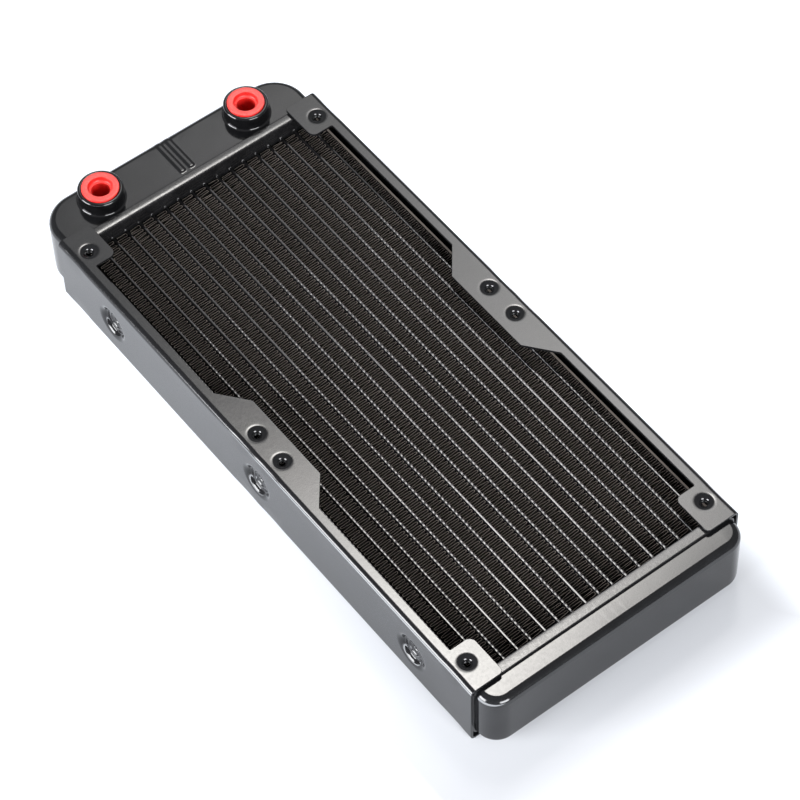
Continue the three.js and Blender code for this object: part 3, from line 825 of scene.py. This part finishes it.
# red plastic: faces that point up take the lighter red as a painted highlight, and the side and hollow
# walls keep the darker red as painted shade
PLUG = shader(
    "plug_plastic", (0.62, 0.016, 0.013), (0.04, 300), (0.26, 0.36, 2200),
    [(2600, 0.2, 0.00004)], painted_top_light=(0.79, 0.058, 0.048), Specular_IOR_Level=0.5,
)


# ---- Pieces ----
def fixed(name, skin, material, slot, *nodes, **options):
    """A piece on the radiator's own body, in place of the given nodes."""
    return piece(name, skin, "radiator", material, slot, nodes, **options)


panel = side_panel()
fixed("side_panel_left_sheet", panel, PAINT, "panel_paint", "side_panel_left", sharp=21)
fixed("side_panel_right_sheet", panel.turned(), PAINT, "panel_paint", "side_panel_right", sharp=21)
tray = header(RETURN_TANK["edge"], **RETURN_HEADER)
fixed("return_header_tray", tray, HEADER_PAINT, "tank_paint", "return_header")
tray = header(PORT_TANK["edge"], **PORT_HEADER).turned()
fixed("port_header_tray", tray, HEADER_PAINT, "tank_paint", "port_header")
fixed("return_header_solder", beads(RETURN_HEADER["face"], 3), SOLDER, "core_metal")
fixed("port_header_solder", beads(PORT_HEADER["face"], 4).turned(), SOLDER, "core_metal")
fixed("return_tank_shell", tank(**RETURN_TANK), TANK_PAINT, "tank_paint", "return_tank")
shell = tank(**PORT_TANK, ridged=True).turned()
fixed("port_tank_shell", shell, TANK_PAINT, "tank_paint", "port_tank")
for i, (node, y) in enumerate(zip(TUBES, TUBES_Y)):
    lean = 0.0 if i else -OUTER_TUBE_LEAN
    fixed(node + "_drawn", tube(y, i, lean), TUBE_PAINT, "core_metal", node, sharp=60)
for i, node in enumerate(FINS):
    low, high = (corner[1] for corner in box_mm(node))
    strip = fin_strip(low - FIN_REACH, high + FIN_REACH, 50 + i)
    fixed(node + "_folded", strip, FIN_PAINT, "fin_metal", node, sharp=50)
for side, y in (("left", PORT_Y), ("right", -PORT_Y)):
    fixed(f"port_collar_{side}_turned", collar(y), GLOSS, "collar_gloss", f"port_collar_{side}")
    name = f"port_plug_{side}"
    piece(name + "_moulded", plug(y), f"plug_{side}", PLUG, "plug_plastic", [name])
for node, material in (
    ("flow_baffle", TANK_PAINT),
    ("core_side_plate_left", FIN_PAINT),
    ("core_side_plate_right", FIN_PAINT),
):
    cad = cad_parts[node]
    cad.data.materials.clear()
    cad.data.materials.append(material)

# ---- Camera ----
AZIMUTH, ELEVATION, ROLL = math.radians(53.98), math.radians(54.20), math.radians(-1.96)
TARGET = Vector((12.344 + PANEL_X, -3.846, HEIGHT)) * MM
DISTANCE = 1.1833
LENS, SENSOR = 149.7, 36

level = math.cos(ELEVATION)
back = Vector((math.sin(AZIMUTH) * level, -math.cos(AZIMUTH) * level, math.sin(ELEVATION)))
right = Vector((math.cos(AZIMUTH), math.sin(AZIMUTH), 0))
up = back.cross(right)
right, up = (
    right * math.cos(ROLL) + up * math.sin(ROLL),
    up * math.cos(ROLL) - right * math.sin(ROLL),
)
camera_data = bpy.data.cameras.new("camera")
camera_data.sensor_width = SENSOR
camera_data.lens = LENS
camera_data.clip_start, camera_data.clip_end = 0.05, 50
camera = bpy.data.objects.new("camera", camera_data)
scene.collection.objects.link(camera)
turn = Matrix((right, up, back)).transposed().to_4x4()
camera.matrix_world = Matrix.Translation(TARGET + back * DISTANCE) @ turn
scene.camera = camera

# ---- Floor ----
FLOOR_REACH, FLOOR_DROP = 2500, 0.02  # half its side, and how far it lies under the part
floor_skin = Skin()
ticks = np.linspace(-FLOOR_REACH, FLOOR_REACH, 6)
floor_skin.grid([[(x, y, -FLOOR_DROP) for x in ticks] for y in ticks])
floor_mesh = bpy.data.meshes.new("floor")
floor_mesh.from_pydata((np.array(floor_skin.points) * MM).tolist(), [], floor_skin.faces)
floor = bpy.data.objects.new("floor", floor_mesh)
scene.collection.objects.link(floor)
floor_mat = bpy.data.materials.new("pale_floor")
floor_mat.use_nodes = True
floor_bsdf = floor_mat.node_tree.nodes["Principled BSDF"]
floor_bsdf.inputs["Base Color"].default_value = (0.5, 0.51, 0.53, 1)
floor_bsdf.inputs["Roughness"].default_value = 0.9
floor_bsdf.inputs["Emission Color"].default_value = (0.9, 0.94, 1.0, 1)

# The floor glows: less beside the +X end, and most in a pool of light along the -Y side.
tree = floor_mat.node_tree
place = tree.nodes.new("ShaderNodeSeparateXYZ")
tree.links.new(tree.nodes.new("ShaderNodeTexCoord").outputs["Object"], place.inputs["Vector"])
base = ramp(tree, place.outputs["X"], -0.06, 0.15, 0.72, 0.12, smoothed=False)
near = ramp(tree, place.outputs["Y"], -0.08, -0.11)
far = ramp(tree, place.outputs["Y"], -0.36, -0.3)
start = ramp(tree, place.outputs["X"], -0.06, -0.02)
pool = combined(tree, "MULTIPLY", combined(tree, "MULTIPLY", near, far), start)
# further out beyond the +X end and behind the +Y side it glows more: painted light that hides the part's
# soft shadow on the floor
beyond = ramp(tree, place.outputs["X"], 0.15, 0.19, 0, 0.8)
behind = ramp(tree, place.outputs["Y"], 0.055, 0.08, 0, 0.7)
base = combined(tree, "ADD", base, combined(tree, "MAXIMUM", beyond, behind))
glow = combined(tree, "MULTIPLY_ADD", pool, 12.0, base)
tree.links.new(glow, floor_bsdf.inputs["Emission Strength"])
floor_mesh.materials.append(floor_mat)


# ---- Studio light: a dim room with soft boxes, as radiance by direction ----
# azimuth from +X towards +Y, elevation, half height, soft edge and half width in degrees, and
# radiance: the main box behind, its two reflectors, then the boxes on the -Y side and at +X
SOFT_BOXES = [
    (144, 60, 3.4, 3.4, 3.4, (27.5, 26.8, 25.7)),
    (135.5, 53, 4.5, 4.5, 4.5, (6.2, 6.1, 6.0)),
    (144, 50, 4.5, 4.5, 7, (1.5, 1.5, 1.5)),
    (-102, 16, 14, 2, 18, (21.0, 21.2, 21.8)),
    (-4, 24, 11, 4, 17, (19.0, 19.2, 19.6)),
]
ROOM = (0.34, 0.345, 0.36)

world = bpy.data.worlds.new("studio")
scene.world = world
world.use_nodes = True
tree = world.node_tree
look = tree.nodes.new("ShaderNodeSeparateXYZ")
tree.links.new(tree.nodes.new("ShaderNodeTexCoord").outputs["Generated"], look.inputs["Vector"])
look_azimuth = combined(tree, "ARCTAN2", look.outputs["Y"], look.outputs["X"])
look_elevation = combined(tree, "ARCSINE", look.outputs["Z"])
light = None
for azimuth, elevation, half_height, soft, half_width, colour in SOFT_BOXES:
    share = None
    stretch = 1 / math.cos(math.radians(elevation))
    for seen, centre, half, edge in (
        (look_azimuth, azimuth, half_width * stretch, soft * stretch),
        (look_elevation, elevation, half_height, soft),
    ):
        off = combined(tree, "ABSOLUTE", combined(tree, "SUBTRACT", seen, math.radians(centre)))
        inside = ramp(tree, off, math.radians(half + edge), math.radians(half - edge))
        share = inside if share is None else combined(tree, "MULTIPLY", share, inside)
    add = tree.nodes.new("ShaderNodeVectorMath")
    add.operation = "MULTIPLY_ADD"
    tree.links.new(share, add.inputs[0])
    add.inputs[1].default_value = colour
    if light is None:
        add.inputs[2].default_value = ROOM
    else:
        tree.links.new(light, add.inputs[2])
    light = add.outputs["Vector"]
tree.links.new(light, tree.nodes["Background"].inputs["Color"])
scene.view_settings.view_transform = "Standard"
